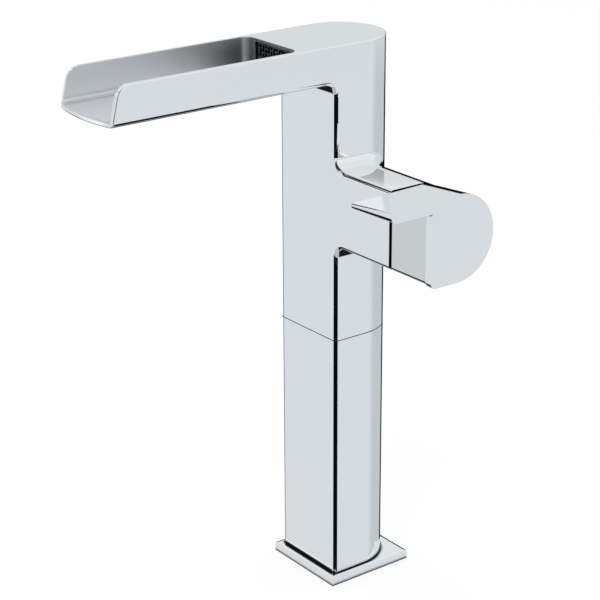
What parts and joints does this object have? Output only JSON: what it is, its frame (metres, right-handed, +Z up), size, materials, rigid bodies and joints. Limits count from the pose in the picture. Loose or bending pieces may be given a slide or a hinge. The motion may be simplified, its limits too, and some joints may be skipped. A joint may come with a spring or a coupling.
{
  "type": "basin faucet",
  "caption": "Tall basin faucet with a D-shaped column on a square plate, an open waterfall spout and a side lever that turns about a horizontal neck.",
  "frame": {"origin": "centre of the underside of the base plate, on the deck", "axes": "+Z up the column, the spout points to -Y, the neck and its handle point to +X"},
  "size_m": [0.13, 0.1899, 0.3134],
  "materials": {
    "chrome": "polished chrome plate on brass",
    "brass": "machined",
    "steel": "plain stainless",
    "rubber": "matte black",
    "ceramic": "lapped ceramic",
    "plastic": "moulded white",
    "grid": "dark fine grid",
    "cap": "grey moulded cap"
  },
  "bodies": {
    "faucet_body": {"base_plate": "chrome", "riser_column": "chrome", "body_casting": "chrome", "trim_collar": "chrome", "foot_insert": "brass", "cartridge_nut": "brass", "joint_spigot": "brass", "tie_rod_left": "steel", "tie_rod_right": "steel", "tie_nut_left": "steel", "tie_nut_right": "steel", "deck_seal": "rubber", "foot_seal": "rubber", "joint_seal": "rubber", "mesh_seal": "rubber", "inlet_seal_front": "rubber", "inlet_seal_back": "rubber", "outlet_seal": "rubber", "fixed_disc": "ceramic", "cartridge_base": "plastic", "cartridge_housing": "plastic", "limit_ring": "plastic", "flow_mesh": "grid", "mesh_frame": "grid"},
    "handle": {"lever_cover": "chrome", "handle_hub": "chrome", "spindle_adapter": "brass", "set_screw": "steel", "set_screw_plug": "cap", "cover_screw_front": "steel", "cover_screw_back": "steel", "spindle": "plastic", "spindle_seal": "rubber", "disc_carrier": "plastic", "moving_disc": "ceramic"}
  },
  "joints": [
    {"name": "lever_lift", "type": "hinge", "parent": "faucet_body", "child": "handle", "pos_m": [0.0711, -0.004, 0.225], "axis": [-1, 0, 0], "range_deg": [0, 95]}
  ]
}
